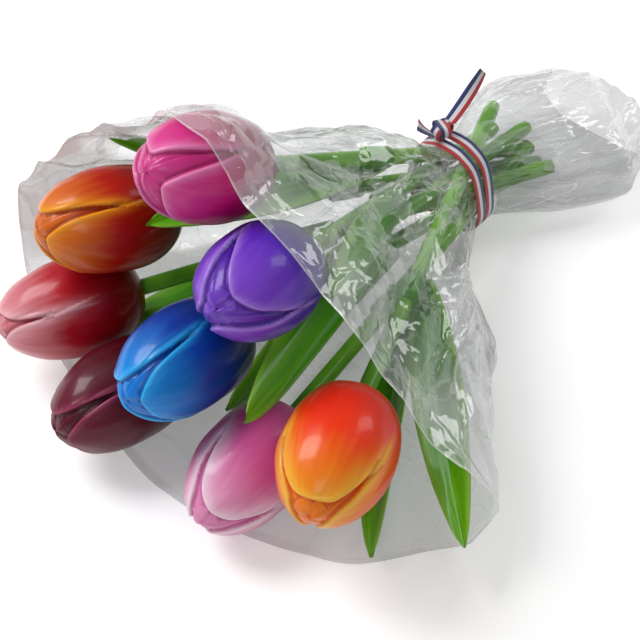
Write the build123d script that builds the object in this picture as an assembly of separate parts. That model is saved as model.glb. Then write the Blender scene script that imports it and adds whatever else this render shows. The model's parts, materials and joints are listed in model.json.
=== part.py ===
from build123d import *
import math
import os

# Bouquet of eight painted wooden tulips lying in a clear film sleeve that is tied with a striped ribbon.
# Millimetres, table at z = 0, buds towards -X, cut stem ends towards +X.

# tulips
TULIP_LENGTH = 203.5
BUD_LENGTH = 50.0
BUD_DIAMETER = 35.0
BUD_WIDEST = 0.44
BUD_FOOT_RADIUS = 4.2
PETAL_STEP = 1.2
PETAL_TIP = 0.965
PETAL_SHOULDER = 0.40
PETAL_HALF_WIDTH = 0.95
# edge of a petal between its shoulder and its tip: half width and height
PETAL_EDGE = [(0.72, 0.70), (0.46, 0.85), (0.27, 0.925)]
STEM_DIAMETER = 5.5
STEM_END_CHAMFER = 0.4
SOCKET_DEPTH = 13.0
GLUE_GAP = 0.03

# leaves
LEAF_WIDTH = 19.0
LEAF_THICKNESS = 2.4
LEAF_CUP_RADIUS = 15.0
LEAF_BEND_RADIUS = 1100.0
LEAF_COLLAR_LENGTH = 13.0
LEAF_COLLAR_WALL = 1.4

# bundle
TIE_HEIGHT = 21.3
END_CLEARANCE = 1.1
BUNDLE_CLEARANCE = 0.5
TIE_HALF_WIDTH = 4.8
TIE_STATION = -6.5

# film sleeve
FILM_WALL = 0.5
FILM_REACH = 152.0
FILM_REACH_CENTRE = (0.0, 8.0, 12.0)
FILM_PLEATS = 13
FILM_PLEAT_WANDER = 0.35
FILM_FLOOR_CORNERS = 9

# ribbon
RIBBON_WIDTH = 4.4
RIBBON_THICKNESS = 0.5
RIBBON_TURN_GAP = 0.2
RIBBON_SEAT_GAP = 0.05
KNOT_SIZE = (9.0, 8.0, 5.6)
KNOT_ROUNDING = 1.8
KNOT_SIDE = 5.0
TAIL_BEND_RADIUS = 60.0
LONG_TAIL_ANGLE = 19.0
SHORT_TAIL_ANGLE = 9.0

# name, bud centre, crossing at the tie (y, height), girth, turn of the petals
TULIPS = [
    ("magenta", (-111.0, 20.0, 94.0), (6.0, 7.4), 1.00, 18.0),
    ("flame", (-121.0, 54.5, 57.3), (8.2, -4.7), 1.00, 27.0),
    ("red", (-136.0, 60.5, 23.7), (-9.3, 1.2), 0.97, 18.0),
    ("maroon", (-150.5, 24.5, 20.0), (-3.0, -10.0), 0.97, 29.0),
    ("blue", (-142.5, 2.5, 46.5), (-1.0, 5.1), 0.97, 45.0),
    ("purple", (-122.5, -11.5, 75.0), (9.3, 1.8), 1.00, -34.0),
    ("pink", (-145.5, -25.5, 18.2), (-8.0, -4.8), 0.97, -30.0),
    ("orange", (-138.5, -55.5, 42.5), (-1.8, 11.0), 1.03, -2.0),
]

# foot of the leaf along the stem from the crossing, turn about the stem from straight up, lean, length, roll
LEAVES = {
    "magenta": (38.0, 155.0, 14.5, 94.0, 0.0),
    "flame": (37.0, 62.0, 13.5, 94.0, 0.0),
    "red": (58.0, 184.0, 8.0, 96.0, 0.0),
    "maroon": (38.0, -99.0, 11.0, 93.0, 30.0),
    "blue": (48.5, -98.0, 13.2, 104.0, 47.0),
    "purple": (40.0, -95.0, 9.0, 84.0, 30.0),
    "pink": (56.0, -103.0, 23.8, 99.0, -35.0),
    "orange": (66.0, -116.0, 25.5, 95.0, -32.0),
}

# film past the tie: station along the bundle, height of the pleats, low and high side, underside and crest
FILM_TAIL = [
    (68.0, 3.6, -34.0, 12.0, 0.0, 27.0),
    (42.0, 3.4, -42.0, 24.0, 0.0, 35.0),
    (20.0, 2.0, -30.0, 19.0, 3.0, 39.0),
]

# film over the buds: station along the bundle, height of the pleats, then points (side, height) from the near
# foot over the crest
FILM_CONE = [
    (-34.0, 2.4, [
        (-16.0, 0.0), (-24.0, 6.0), (-27.0, 16.0), (-24.0, 38.0), (-10.0, 54.0), (6.0, 62.0),
        (19.0, 57.0), (28.0, 47.0), (38.0, 27.0), (35.0, 9.0), (26.0, 0.0),
    ]),
    (-57.0, 3.4, [
        (-40.0, 0.0), (-51.0, 6.0), (-55.0, 16.0), (-38.0, 46.0), (-14.0, 66.0), (10.0, 77.0),
        (28.0, 71.0), (43.0, 60.0), (58.0, 33.0), (54.0, 10.0), (44.0, 0.0),
    ]),
    (-92.0, 4.0, [
        (-60.0, 0.0), (-76.0, 10.0), (-75.0, 36.0), (-50.0, 60.0), (-20.0, 92.5), (20.0, 107.5),
        (46.0, 96.0), (64.0, 78.0), (86.0, 41.0), (81.0, 12.0), (70.0, 0.0),
    ]),
    (-104.0, 3.8, [
        (-68.0, 0.0), (-85.7, 10.0), (-87.0, 31.4), (-56.9, 60.0), (-22.3, 94.8), (20.0, 113.5),
        (49.4, 101.7), (69.1, 83.1), (94.0, 43.3), (89.6, 13.1), (78.0, 0.0),
    ]),
    (-140.0, 3.4, [
        (-89.6, 0.0), (-115.0, 10.0), (-123.0, 18.0), (-78.3, 70.6), (-25.7, 104.0), (21.0, 131.5),
        (59.7, 118.8), (84.5, 98.5), (118.0, 50.0), (114.8, 16.5), (100.0, 0.0),
    ]),
]

# shape of a film section between its low and high side, underside and crest
FILM_ROUND = [
    (-0.66, 0.0), (-0.93, 0.13), (-1.0, 0.36), (-0.78, 0.80), (-0.40, 0.965), (0.0, 1.0),
    (0.40, 0.965), (0.78, 0.80), (1.0, 0.36), (0.93, 0.13), (0.66, 0.0),
]

SPREAD = max(BUD_DIAMETER / 35.0, BUD_LENGTH / 50.0, TULIP_LENGTH / 203.5)
GRIP = STEM_DIAMETER / 5.5
STEM_RADIUS = STEM_DIAMETER / 2


def unit(v):
    size = math.sqrt(sum(c * c for c in v))
    return tuple(c / size for c in v)


def crossing(tulip, tie):
    return (0.0, tulip[2][0] * GRIP, tie + tulip[2][1] * GRIP)


def bud_centre(tulip):
    return tuple(c * SPREAD for c in tulip[1])


def axis_of(tulip, tie):
    p = crossing(tulip, tie)
    c = bud_centre(tulip)
    d = tuple(c[i] - p[i] for i in range(3))
    reach = math.sqrt(sum(k * k for k in d))
    return p, unit(d), reach


def cut_length(reach):
    return TULIP_LENGTH - BUD_LENGTH / 2 - reach


def tie_height():
    # the bundle sits just high enough for every cut stem end to clear the film
    tie = TIE_HEIGHT * SPREAD
    for step in range(12):
        need = tie
        for tulip in TULIPS:
            p, u, reach = axis_of(tulip, tie)
            low = p[2] - u[2] * cut_length(reach) - STEM_RADIUS * math.sqrt(1 - u[2] * u[2])
            need = max(need, tie + END_CLEARANCE - low)
        tie = need
    return tie


TIE = tie_height()


def plane_of(tulip):
    # local z runs along the stem from the tie to the bud, local x points as nearly up as it can
    p, u, reach = axis_of(tulip, TIE)
    up = (-u[0] * u[2], -u[1] * u[2], 1 - u[2] * u[2])
    return Plane(origin=p, x_dir=unit(up), z_dir=u), reach


def egg(radius, length, foot):
    widest = BUD_WIDEST * length
    above = length - widest
    with BuildPart() as body:
        with BuildSketch(Plane.XZ):
            with BuildLine():
                Line((0, 0), (foot, 0))
                Bezier(
                    (foot, 0), (foot + 0.62 * (radius - foot), 0.02 * length),
                    (radius, 0.42 * widest), (radius, widest),
                )
                Bezier(
                    (radius, widest), (radius, widest + 0.58 * above),
                    (0.52 * radius, 0.975 * length), (0, length),
                )
                Line((0, length), (0, 0))
            make_face()
        revolve(axis=Axis.Z)
    return body.part


def petal_tongues(radius):
    tip = PETAL_TIP * BUD_LENGTH
    shoulder = PETAL_SHOULDER * BUD_LENGTH
    half = PETAL_HALF_WIDTH * radius
    edge = [(u * radius, v * BUD_LENGTH) for u, v in PETAL_EDGE]
    with BuildPart() as tongues:
        for k in range(3):
            side = Plane(
                origin=(0, 0, 0),
                x_dir=(-math.sin(math.radians(120 * k)), math.cos(math.radians(120 * k)), 0),
                z_dir=(math.cos(math.radians(120 * k)), math.sin(math.radians(120 * k)), 0),
            )
            with BuildSketch(side):
                with BuildLine():
                    Line((-half, -1), (half, -1))
                    Line((half, -1), (half, shoulder))
                    Spline(
                        (half, shoulder), *edge, (0, tip), *[(-u, v) for u, v in reversed(edge)], (-half, shoulder),
                        tangents=[(0, 1), (0, -1)],
                    )
                    Line((-half, shoulder), (-half, -1))
                make_face()
            extrude(amount=radius * 1.2)
    return tongues.part


def bud(girth):
    radius = BUD_DIAMETER * girth / 2
    outer = egg(radius, BUD_LENGTH, BUD_FOOT_RADIUS)
    core = egg(radius - PETAL_STEP, BUD_LENGTH - 0.2, BUD_FOOT_RADIUS - 0.3)
    body = core + (outer & petal_tongues(radius))
    bore = Pos(0, 0, SOCKET_DEPTH / 2 - 0.5) * Cylinder(STEM_RADIUS + GLUE_GAP, SOCKET_DEPTH + 1.0)
    return body - bore


def stem(reach):
    tail = cut_length(reach)
    top = reach - BUD_LENGTH / 2 + SOCKET_DEPTH - 0.2
    rod = Pos(0, 0, (top - tail) / 2) * Cylinder(STEM_RADIUS, top + tail)
    return chamfer(rod.edges().sort_by(Axis.Z)[0], STEM_END_CHAMFER)


def leaf(lean, length, roll):
    half = LEAF_WIDTH / 2
    bore = STEM_RADIUS + GLUE_GAP
    r_out = LEAF_CUP_RADIUS + LEAF_THICKNESS / 2
    r_in = LEAF_CUP_RADIUS - LEAF_THICKNESS / 2
    with BuildPart() as blade:
        with BuildSketch(Plane.XY):
            with Locations((-LEAF_CUP_RADIUS, 0)):
                Circle(r_out)
                Circle(r_in, mode=Mode.SUBTRACT)
            with Locations((0, 0)):
                Rectangle(2 * (LEAF_CUP_RADIUS - 3), 2 * half + 4, mode=Mode.INTERSECT)
        revolve(
            axis=Axis((LEAF_BEND_RADIUS, 0, 0), (0, 1, 0)),
            revolution_arc=math.degrees((length + 6) / LEAF_BEND_RADIUS),
        )
        with BuildSketch(Plane.YZ.offset(-30)):
            with BuildLine():
                Spline(
                    (0.36 * half, 0), (0.75 * half, 0.18 * length), (half, 0.45 * length),
                    (0.80 * half, 0.72 * length), (0.38 * half, 0.92 * length), (0.05 * half, length),
                )
                Line((0.05 * half, length), (-0.05 * half, length))
                Spline(
                    (-0.05 * half, length), (-0.38 * half, 0.92 * length), (-0.80 * half, 0.72 * length),
                    (-half, 0.45 * length), (-0.75 * half, 0.18 * length), (-0.36 * half, 0),
                )
                Line((-0.36 * half, 0), (0.36 * half, 0))
            make_face()
        extrude(amount=80, mode=Mode.INTERSECT)
    wing = Pos(bore + 0.8, 0, 0) * Rot(0, lean, 0) * Rot(0, 0, roll) * blade.part
    collar = Pos(0, 0, LEAF_COLLAR_LENGTH / 2) * Cone(
        bore + 0.7 * LEAF_COLLAR_WALL, bore + LEAF_COLLAR_WALL, LEAF_COLLAR_LENGTH
    )
    hole = Cylinder(bore, 4 * LEAF_COLLAR_LENGTH)
    return (collar + wing) - hole


def upright(x):
    # square across the bundle: local x is the side, local y is up
    return Plane(origin=(x, 0, 0), x_dir=(0, 1, 0), z_dir=(1, 0, 0))


def tie_x(offset):
    return TIE_STATION * SPREAD + offset


def bundle_box():
    # room taken by the stems within the width of the tie
    side = []
    height = []
    for tulip in TULIPS:
        p, u, reach = axis_of(tulip, TIE)
        room = 1.12 * STEM_RADIUS + BUNDLE_CLEARANCE
        for x in (tie_x(-TIE_HALF_WIDTH), tie_x(TIE_HALF_WIDTH)):
            y = p[1] + u[1] * x / u[0]
            z = p[2] + u[2] * x / u[0]
            side += [y - room, y + room]
            height += [z - room, z + room]
    return min(side) - 0.9, max(side) + 0.9, min(height) - 0.4, max(height) + 1.8


def round_points(y_low, y_high, z_low, z_high):
    mid = (y_low + y_high) / 2
    half = (y_high - y_low) / 2
    return [(mid + a * half, z_low + b * (z_high - z_low)) for a, b in FILM_ROUND]


def grown(points, grow):
    # points moved square to the outline they lie on; the underside stays flat
    moved = []
    for i, (y, z) in enumerate(points):
        before = points[i - 1] if i else points[1]
        after = points[(i + 1) % len(points)] if i < len(points) - 1 else points[-2]
        if i in (0, len(points) - 1):
            moved.append((y + math.copysign(grow * 0.6, y - points[5][0]), z - grow))
            continue
        run = (after[0] - before[0], after[1] - before[1])
        size = math.hypot(*run)
        moved.append((y - grow * run[1] / size, z + grow * run[0] / size))
    return moved


def smooth(points):
    # close-set points of a curve through the given ones
    ends = [tuple(2 * a - b for a, b in zip(points[0], points[1]))]
    ends += points
    ends += [tuple(2 * a - b for a, b in zip(points[-1], points[-2]))]
    curve = []
    for i in range(len(points) - 1):
        p, q, r, s = ends[i:i + 4]
        for step in range(24):
            t = step / 24
            curve.append(tuple(
                0.5 * (2 * q[c] + (r[c] - p[c]) * t + (2 * p[c] - 5 * q[c] + 4 * r[c] - s[c]) * t * t
                       + (3 * q[c] - p[c] - 3 * r[c] + s[c]) * t ** 3)
                for c in (0, 1)
            ))
    return curve + [points[-1]]


def pleated(points, height, number):
    # valleys on the smooth outline, crests lifted square off it; both wander a little from station to station
    curve = smooth(points)
    run = [0.0]
    for a, b in zip(curve, curve[1:]):
        run.append(run[-1] + math.hypot(b[0] - a[0], b[1] - a[1]))
    last = 2 * FILM_PLEATS
    corners = [points[0]]
    for k in range(1, last):
        wander = FILM_PLEAT_WANDER * math.sin(2.4 * k + 1.3 * number) if height else 0
        far = run[-1] * (k + wander) / last
        i = max(j for j in range(len(run) - 1) if run[j] <= far)
        a, b = curve[i], curve[i + 1]
        size = run[i + 1] - run[i]
        t = (far - run[i]) / size
        lift = height * (0.65 + 0.35 * math.sin(1.7 * k + 0.5 * number)) if k % 2 else 0
        y = a[0] + t * (b[0] - a[0]) - lift * (b[1] - a[1]) / size
        z = a[1] + t * (b[1] - a[1]) + lift * (b[0] - a[0]) / size
        corners.append((y, max(z, points[0][1])))
    return corners + [points[-1]]


def ribbon_ring(plane, points, grow):
    # the same outline without pleats
    at = pleated(grown(points, grow), 0, 0)
    with BuildSketch(plane) as face:
        with BuildLine():
            Line(at[-1], at[0])
            Spline(*at)
        make_face()
    return face.sketch


def film_stations():
    stations = []
    for row in FILM_TAIL:
        x, height, *box = (v * SPREAD for v in row)
        stations.append((x, round_points(*box), height))
    for offset in (TIE_HALF_WIDTH, -TIE_HALF_WIDTH):
        stations.append((tie_x(offset), round_points(*bundle_box()), 0))
    for x, height, points in FILM_CONE:
        outline = [(y * SPREAD, z * SPREAD) for y, z in points]
        stations.append((x * SPREAD, outline, height * SPREAD))
    return stations


def mouth_corner(a, b):
    # where the pleat line from a to b comes to the reach of the film
    out = [q - p for p, q in zip(a, b)]
    start = [p - c * SPREAD for p, c in zip(a, FILM_REACH_CENTRE)]
    k = sum(o * o for o in out)
    m = sum(o * v for o, v in zip(out, start))
    n = sum(v * v for v in start) - (FILM_REACH * SPREAD) ** 2
    t = (math.sqrt(m * m - k * n) - m) / k
    return tuple(p + t * o for p, o in zip(a, out))


def film_rings(grow):
    rings = []
    for number, (x, points, height) in enumerate(film_stations()):
        rings.append([(x, y, z) for y, z in pleated(grown(points, grow), height, number)])
    rings[-1] = [mouth_corner(a, b) for a, b in zip(rings[-2], rings[-1])]
    return rings


def mouth_floor(mouth):
    # corners of the free edge on the table, from the far foot to the near foot
    near, far = mouth[0], mouth[-1]
    cx, cy, cz = (c * SPREAD for c in FILM_REACH_CENTRE)
    corners = []
    for j in range(1, FILM_FLOOR_CORNERS + 1):
        y = far[1] + (near[1] - far[1]) * j / (FILM_FLOOR_CORNERS + 1)
        depth = (FILM_REACH * SPREAD) ** 2 - (y - cy) ** 2 - (near[2] - cz) ** 2
        corners.append((cx - math.sqrt(depth), y, near[2]))
    return corners


def facet(*corners):
    return Face(Wire.make_polygon([Vector(*c) for c in corners]))


def skin(rings):
    # two flat facets between each pair of pleat lines, a strip under each span, one floor under the buds
    facets = []
    resting = len(rings) - len(FILM_CONE)
    for i, (near, far) in enumerate(zip(rings, rings[1:])):
        for k in range(len(near) - 1):
            if (k + i) % 2:
                facets.append(facet(near[k], near[k + 1], far[k + 1]))
                facets.append(facet(near[k], far[k + 1], far[k]))
            else:
                facets.append(facet(near[k], near[k + 1], far[k]))
                facets.append(facet(near[k + 1], far[k + 1], far[k]))
        if i < resting:
            facets.append(facet(near[-1], near[0], far[0], far[-1]))
    floor = rings[resting:]
    near_feet = [ring[0] for ring in floor]
    far_feet = [ring[-1] for ring in reversed(floor)]
    facets.append(facet(*near_feet, *reversed(mouth_floor(rings[-1])), *far_feet))
    return facets


def rim(outer, inner):
    facets = []
    for k in range(len(outer)):
        n = (k + 1) % len(outer)
        facets.append(facet(outer[k], outer[n], inner[n]))
        facets.append(facet(outer[k], inner[n], inner[k]))
    return facets


def film():
    outer = film_rings(0)
    inner = film_rings(-FILM_WALL)
    facets = skin(outer) + skin(inner) + rim(outer[0], inner[0])
    facets += rim(outer[-1] + mouth_floor(outer[-1]), inner[-1] + mouth_floor(inner[-1]))
    return Solid(Shell(facets))


def ribbon_turn(offset):
    plane = upright(tie_x(offset))
    points = round_points(*bundle_box())
    big = ribbon_ring(plane, points, RIBBON_SEAT_GAP + RIBBON_THICKNESS)
    small = ribbon_ring(plane, points, RIBBON_SEAT_GAP)
    return extrude(big - small, amount=RIBBON_WIDTH, dir=plane.z_dir)


def knot_place():
    y_low, y_high, z_low, z_high = bundle_box()
    side = (y_low + y_high) / 2 + KNOT_SIDE
    height = z_high + RIBBON_SEAT_GAP + RIBBON_THICKNESS + 0.1 + KNOT_SIZE[2] / 2
    return Location(upright(tie_x(0))) * Pos(side, height, 0)


def ribbon_knot():
    lump = fillet(Box(KNOT_SIZE[1], KNOT_SIZE[2], KNOT_SIZE[0]).edges(), KNOT_ROUNDING)
    return knot_place() * lump


def ribbon_tail(angle):
    # strip bent about a cross axis, starting flat at the origin and rising along +X
    strip = Plane.YZ * Rectangle(RIBBON_WIDTH, RIBBON_THICKNESS)
    return revolve(strip, Axis((0, 0, TAIL_BEND_RADIUS), (0, -1, 0)), angle)


def long_tail():
    start = knot_place() * Pos(0, 0.3, KNOT_SIZE[0] / 2 + 0.7)
    return Pos(start.position) * Rot(0, -13, 0) * ribbon_tail(LONG_TAIL_ANGLE)


def short_tail():
    start = knot_place() * Pos(1.0, 0.6, -KNOT_SIZE[0] / 2 - 1.1)
    return Pos(start.position) * Rot(0, 0, 155) * Rot(0, -50, 0) * ribbon_tail(SHORT_TAIL_ANGLE)


def assembly():
    pieces = {}
    pieces["film_sleeve"] = film()
    pieces["ribbon_turn_bud_side"] = ribbon_turn(-RIBBON_TURN_GAP / 2 - RIBBON_WIDTH)
    pieces["ribbon_turn_stem_side"] = ribbon_turn(RIBBON_TURN_GAP / 2)
    pieces["ribbon_knot"] = ribbon_knot()
    pieces["ribbon_long_tail"] = long_tail()
    pieces["ribbon_short_tail"] = short_tail()
    for tulip in TULIPS:
        name = tulip[0]
        place, reach = plane_of(tulip)
        spot = Location(place)
        foot, turn, lean, length, roll = LEAVES[name]
        pieces["bud_" + name] = spot * Pos(0, 0, reach - BUD_LENGTH / 2) * Rot(0, 0, tulip[4]) * bud(tulip[3])
        pieces["stem_" + name] = spot * stem(reach)
        pieces["leaf_" + name] = spot * Pos(0, 0, foot * SPREAD) * Rot(0, 0, turn) * leaf(lean, length, roll)
    return pieces


def shift_to_middle(pieces):
    boxes = [p.bounding_box() for p in pieces.values()]
    x = (min(b.min.X for b in boxes) + max(b.max.X for b in boxes)) / 2
    y = (min(b.min.Y for b in boxes) + max(b.max.Y for b in boxes)) / 2
    return x, y


def main():
    pieces = assembly()
    x, y = shift_to_middle(pieces)
    os.makedirs("parts", exist_ok=True)
    for name, piece in pieces.items():
        solids = piece.solids()
        body = solids[0] if len(solids) == 1 else Compound(children=solids)
        body = Pos(-x, -y, 0) * body
        body.label = name
        export_step(body, os.path.join("parts", name + ".step"))


if __name__ == "__main__":
    main()
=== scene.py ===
import json
import math

import bmesh
import bpy
import numpy as np
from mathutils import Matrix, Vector
from mathutils.bvhtree import BVHTree


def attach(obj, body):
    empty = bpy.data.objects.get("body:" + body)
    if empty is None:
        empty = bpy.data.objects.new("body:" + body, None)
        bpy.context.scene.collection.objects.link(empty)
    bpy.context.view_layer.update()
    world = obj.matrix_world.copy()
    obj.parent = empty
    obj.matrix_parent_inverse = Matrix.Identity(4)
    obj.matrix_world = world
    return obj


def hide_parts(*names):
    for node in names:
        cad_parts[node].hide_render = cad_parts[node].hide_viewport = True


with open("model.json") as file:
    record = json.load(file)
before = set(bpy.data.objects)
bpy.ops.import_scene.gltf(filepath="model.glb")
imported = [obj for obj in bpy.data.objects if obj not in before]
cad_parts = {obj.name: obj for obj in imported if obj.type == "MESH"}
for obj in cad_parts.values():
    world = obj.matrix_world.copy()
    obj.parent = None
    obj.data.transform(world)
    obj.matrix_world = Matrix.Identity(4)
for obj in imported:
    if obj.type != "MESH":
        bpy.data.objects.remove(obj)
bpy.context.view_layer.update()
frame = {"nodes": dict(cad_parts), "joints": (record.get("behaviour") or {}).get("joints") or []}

# A bouquet of eight painted wooden tulips in a clear film sleeve tied with a striped ribbon.
# Metres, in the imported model's frame: table at z = 0, buds towards -X, cut stem ends towards +X.
MM = 0.001

# buds; rows are below and above the widest spot, and shares are of the bud's length
BUD_ROWS = (70, 140)
BUD_COLUMNS = 264
BUD_WIDEST = 0.44
BUD_FOOT = 4.2 * MM
BUD_SEED = 20
BUD_LOBES = 0.22 * MM
BUD_WAVE = 0.09 * MM
PETAL_STEP = 1.3 * MM
PETAL_TIP = 0.965
PETAL_HALF_ANGLE = 61
PETAL_SOFT = 0.45 * MM
PETAL_LIP = 0.20 * MM
# depth of the carved lines: where petals overlap, along the foot of their edges, and on the inner petals
SEAM_CUT = 0.35 * MM
FOOT_CUT = 0.30 * MM
FOLD_CUT = 0.30 * MM
TUCK_CUT = 0.25 * MM
INNER_SWELL = 0.35 * MM

# stems
STEM_RINGS = 48
STEM_SIDES = 28
STEM_EASE = 4 * MM
STEM_EASE_SHARE = 0.88

# leaves; the outline gives half the width along the length, both as shares
LEAF_OUTLINE = [(0.0, 0.36), (0.18, 0.75), (0.45, 1.0), (0.72, 0.80), (0.92, 0.38), (1.0, 0.04)]
LEAF_OUTLINE_POINTS = 400
LEAF_SEED = 40
LEAF_ROWS = 72
LEAF_TIP = 0.06
LEAF_TIP_ROWS = 16
LEAF_COLUMNS = 64
LEAF_WIDTH = 19.0 * MM
LEAF_THICKNESS = 2.4 * MM
LEAF_CUP = 15.0 * MM
LEAF_BEND = 1.1
LEAF_CHANNEL = 0.55 * MM
LEAF_CHANNEL_WIDTH = 1.6 * MM
LEAF_WAVE = 0.5 * MM
LEAF_COLLAR = 13.0 * MM
LEAF_COLLAR_WALL = 1.4 * MM
LEAF_OFFSET = 0.83 * MM
COLLAR_COLUMNS = 40
# height and wall along the collar, as shares
COLLAR_PROFILE = [(0.0, 0.45), (0.04, 0.75), (0.5, 0.9), (0.92, 0.95), (1.0, 0.35)]

# film sleeve; stations, sides and heights are millimetres from the spot where the stems cross
CROSSING = np.array([53.433, -3.587, 0.0]) * MM
TIE_STATION = -6.5
TIE_HALF_WIDTH = 4.8
# station, height of the pleats, low and high side, underside and crest
FILM_TAIL = [(68, 1.6, -34, 12, 0, 27), (42, 2.4, -42, 24, 0, 35), (20, 2.0, -30, 19, 3, 39)]
FILM_WAIST = (-13.84, 17.0, 7.42, 40.73)
# station, height of the pleats, then points (side, height) from the near foot over the crest
# to the far foot
FILM_CONE = [
    (-34, 2.4, [
        (-16, 0), (-24, 6), (-27, 16), (-24, 38), (-10, 54), (6, 62),
        (19, 57), (28, 47), (38, 27), (35, 9), (26, 0),
    ]),
    (-57, 3.4, [
        (-40, 0), (-51, 6), (-55, 16), (-38, 46), (-14, 66), (10, 77),
        (28, 71), (43, 60), (58, 33), (54, 10), (44, 0),
    ]),
    (-92, 4.0, [
        (-60, 0), (-76, 10), (-75, 36), (-50, 60), (-20, 92.5), (20, 107.5),
        (46, 96), (64, 78), (86, 41), (81, 12), (70, 0),
    ]),
    (-104, 3.8, [
        (-68, 0), (-85.7, 10), (-87, 31.4), (-56.9, 60), (-22.3, 94.8), (20, 113.5),
        (49.4, 101.7), (69.1, 83.1), (94, 43.3), (89.6, 13.1), (78, 0),
    ]),
    (-140, 3.4, [
        (-89.6, 0), (-115, 10), (-123, 18), (-78.3, 70.6), (-25.7, 104), (21, 122.5),
        (59.7, 116.0), (84.5, 98.5), (118, 50), (114.8, 16.5), (100, 0),
    ]),
]
FILM_PLEATS = 13
FILM_PLEAT_WANDER = 0.35
FILM_FLOOR_CORNERS = 9
FILM_ROUND = [
    (-0.66, 0.0), (-0.93, 0.13), (-1.0, 0.36), (-0.78, 0.80), (-0.40, 0.965), (0.0, 1.0),
    (0.40, 0.965), (0.78, 0.80), (1.0, 0.36), (0.93, 0.13), (0.66, 0.0),
]
FILM_REACH = 152.0
FILM_REACH_CENTRE = (0.0, 8.0, 12.0)
# the straight top edge: its station, and where it starts, by height and by side
FILM_TOP_EDGE = -117.5
FILM_TOP_RISE = (35, 60)
FILM_TOP_SIDE = (22, 50)
# half the wall, spare length of the floor and the sides over which it runs out, height on the table
FILM_WALL = 0.25
FILM_FLOOR_SPARE = 9.0
FILM_FLOOR_SIDE = (-10, 50)
FILM_LIE = 0.12
# how far the crest may sink or rise on the tulips, and the room left over them and round a bud's way out
FILM_SAG = 12.0
FILM_LIFT = 3.0
FILM_ROOM = 1.0
FILM_WAY_ROOM = 0.6 * MM
FILM_SAG_PASSES = 40
# the film hangs loose past these stations and above these heights, and may rest on wood in this space
FILM_LOOSE_RUN = (-75, -35)
FILM_LOOSE_RISE = (38, 60)
FILM_REST_STATION = -30
FILM_REST_HEIGHT = 30 * MM
FILM_REST_ABOVE = 12 * MM
FILM_EASE_PASSES = 4
# rows of the mesh between stations from the tail to the mouth, and its columns
FILM_ROWS = (20, 16, 16, 7, 22, 20, 30, 12, 26)
FILM_PLEAT_COLUMNS = 12
FILM_FLOOR_COLUMNS = 5
FILM_OVER_POINTS = 300
FILM_UNDER_POINTS = 80
FILM_PLEAT_POINTS = 241
FILM_SEED = 4
FILM_CREASES = 110
FILM_RIPPLES = 7
# the film keeps this gap to the wood, and where wood lies up to this deep behind it the film is kept clear of
# painted shade
FILM_GAP = 0.5 * MM
FILM_PUSH = 5 * MM
FILM_LOOK = 45 * MM
FILM_LOOK_RAYS = 8
FILM_LOOK_SPREAD = 0.35
FILM_MIDDLE = (-50 * MM, 6 * MM, 30 * MM)
# creases stand higher away from the tie, up to a limit, and less outwards than inwards
FILM_CREASE_FIRST = 0.15
FILM_CREASE_GROWTH = 0.05
FILM_CREASE_LIMIT = 2.2
FILM_CREASE_OUT = 0.6
# what the film lets through over wood, the painted shade that greys it over the table and, paler, where it
# lies on it, and the white of its painted reflections and glints
FILM_CLEAR = (0.94, 0.945, 0.95)
FILM_PAINTED_SHADE_GREY = (0.54, 0.54, 0.54)
FILM_FLOOR_PAINTED_SHADE_GREY = (0.77, 0.772, 0.775)
FILM_PAINTED_REFLECTION_WHITE = (0.92, 0.925, 0.93, 1.0)
FILM_PANES = (30.0, 9.0, 1.0)

# ribbon; places in millimetres like the film's
RIBBON_WIDTH = 4.4 * MM
RIBBON_THICKNESS = 0.45 * MM
RIBBON_COLUMNS = 28
RIBBON_SEAT = 0.35
TURN_ROWS = 160
# node, station from the middle of the tie, sway
TURNS = [("ribbon_turn_bud_side", -2.3, 0.5), ("ribbon_turn_stem_side", 2.3, -0.5)]
KNOT_CENTRE = (-6.5, 6.58, 44.18)
KNOT_ROWS = 48
KNOT_NARROWING = 0.92
# turn, reach, height and lift of the two lengths of ribbon in the knot
KNOT_STRAPS = [(0, 4.1, 2.5, -0.3), (64, 3.5, 2.2, 0.25)]
TAIL_ROWS = 40
# node, piece, start from the middle of the knot, heading, pitch, length, bend, twist
TAILS = [
    ("ribbon_long_tail", "long_end", (4.6, 0.1, 0.3), 4, 14, 22, 20, 75),
    ("ribbon_short_tail", "short_end", (-4.4, 1.0, 0.4), 155, 42, 8.5, 14, -40),
]

# camera
CAMERA_AZIMUTH = -50.0
CAMERA_ELEVATION = 48.3
CAMERA_DISTANCE = 0.639
CAMERA_TARGET = (-0.0308, -0.0075, 0.020)
CAMERA_LENS = 108.8
CAMERA_SENSOR = 36.0

# floor and light: the floor's own glow where it is seen, near the bouquet and farther out
TABLE_HALF = 6.0
TABLE_SHADE = 0.86
TABLE_GLOW = (0.30, 0.76)
TABLE_GLOW_REACH = (0.25, 1.5)
WORLD_LIGHT = 0.30
# place, aim, size and power
LAMPS = {
    "window": ((-0.30, 0.75, 0.95), (-0.02, 0.0, 0.03), (0.5, 0.7), 11.0),
    "fill": ((-0.9, -0.5, 0.8), (-0.02, 0.0, 0.03), (0.5, 0.5), 2.5),
    "side": ((0.8, -0.35, 0.7), (0.0, 0.0, 0.03), (0.3, 0.6), 2.5),
}

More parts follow.
